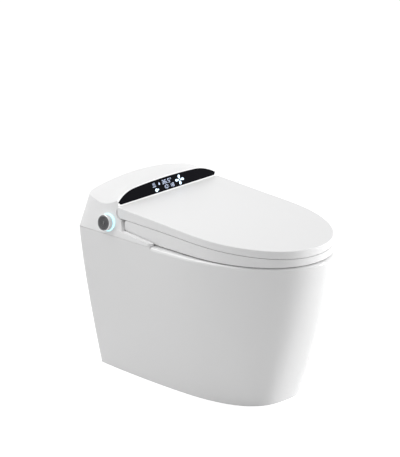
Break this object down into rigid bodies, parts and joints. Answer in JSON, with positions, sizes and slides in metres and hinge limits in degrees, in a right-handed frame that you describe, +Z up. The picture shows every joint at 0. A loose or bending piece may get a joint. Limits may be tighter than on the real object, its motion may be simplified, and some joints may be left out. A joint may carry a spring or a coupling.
{
  "type": "smart toilet",
  "caption": "Floor-standing smart toilet: skirted ceramic pan, heated seat and lid on one soft-close hinge, rear unit with lit display, side knob and washing wand.",
  "frame": {"origin": "centre of the floor outlet's mouth, in the floor plane", "axes": "+Z up, front towards -Y, wall side +Y, X=0 the plane of symmetry of pan, seat and lid"},
  "size_m": [0.4139, 0.6371, 0.4938],
  "materials": {
    "ceramic": "glossy glaze",
    "shell": "gloss",
    "glass": "dark gloss",
    "display": "lit icons",
    "glow": "lit ring",
    "silver": "satin silver",
    "knob_face": "brushed",
    "inner": "moulded",
    "steel": "ground",
    "damper": "moulded",
    "foil": "foil",
    "rubber": "soft",
    "wand": "gloss",
    "gear": "moulded",
    "motor": "satin",
    "board": "circuit board",
    "filter": "carbon felt"
  },
  "bodies": {
    "toilet": {"pan_skirt": "ceramic", "pan_bowl": "ceramic", "pan_trapway": "ceramic", "outlet_collar": "ceramic", "flush_hose": "rubber", "rear_cover": "shell", "base_plate": "inner", "display_glass": "glass", "display_board": "display", "light_ring": "glow", "knob_encoder": "inner", "hinge_bracket_right": "inner", "hinge_bracket_left": "inner", "hinge_pin_right": "steel", "hinge_pin_left": "steel", "damper_right": "damper", "damper_left": "damper", "wand_guide": "inner", "wand_motor": "motor", "wash_fascia": "shell", "dryer_duct": "inner", "fan_housing": "inner", "fan_motor": "motor", "water_heater": "inner", "control_board": "board", "power_supply": "motor", "inlet_valve": "gear", "flush_pump": "motor", "odour_filter": "filter", "cord_gland": "rubber"},
    "seat": {"seat_top": "shell", "seat_base": "shell", "seat_heater": "foil", "seat_bumper_1": "rubber", "seat_bumper_2": "rubber", "seat_bumper_3": "rubber", "seat_bumper_4": "rubber"},
    "lid": {"lid_shell": "shell", "lid_liner": "shell", "lid_bumper_1": "rubber", "lid_bumper_2": "rubber", "lid_bumper_3": "rubber", "lid_bumper_4": "rubber"},
    "knob_rotor": {"knob_sleeve": "inner"},
    "knob": {"knob_body": "silver", "knob_face": "knob_face"},
    "wand": {"wand_tube": "wand", "wand_tip": "wand", "wand_shield": "shell"},
    "pinion": {"wand_pinion": "gear"},
    "flap": {"dryer_flap": "shell"},
    "fan": {"fan_wheel": "gear"}
  },
  "joints": [
    {"name": "seat_hinge", "type": "hinge", "parent": "toilet", "child": "seat", "pos_m": [0, 0.16, 0.4462], "axis": [-1, 0, 0], "range_deg": [0, 100]},
    {"name": "lid_hinge", "type": "hinge", "parent": "seat", "child": "lid", "pos_m": [0, 0.16, 0.4462], "axis": [1, 0, 0], "range_deg": [-102, 0]},
    {"name": "knob_turn", "type": "hinge", "parent": "toilet", "child": "knob_rotor", "pos_m": [-0.19434, 0.2005, 0.4155], "axis": [-0.989, 0, 0.1478], "continuous": true},
    {"name": "knob_press", "type": "slide", "parent": "knob_rotor", "child": "knob", "axis": [0.989, 0, -0.1478], "range_m": [0, 0.0012], "stiffness_N_per_m": 400, "springref_m": -0.0005},
    {"name": "wand_slide", "type": "slide", "parent": "toilet", "child": "wand", "axis": [0, -0.9063, -0.4226], "range_m": [0, 0.09]},
    {"name": "pinion_turn", "type": "hinge", "parent": "toilet", "child": "pinion", "pos_m": [-0.022, 0.18885, 0.42242], "axis": [1, 0, 0], "range_deg": [-650, 0]},
    {"name": "flap_hinge", "type": "hinge", "parent": "toilet", "child": "flap", "pos_m": [0.036, 0.0775, 0.3682], "axis": [-1, 0, 0], "range_deg": [0, 60]},
    {"name": "fan_spin", "type": "hinge", "parent": "toilet", "child": "fan", "pos_m": [0.062, 0.232, 0.399], "axis": [0, 0, 1], "continuous": true}
  ],
  "couplings": [
    {"joint": "pinion_turn", "follows": "wand_slide", "rad_per_m": -125}
  ]
}
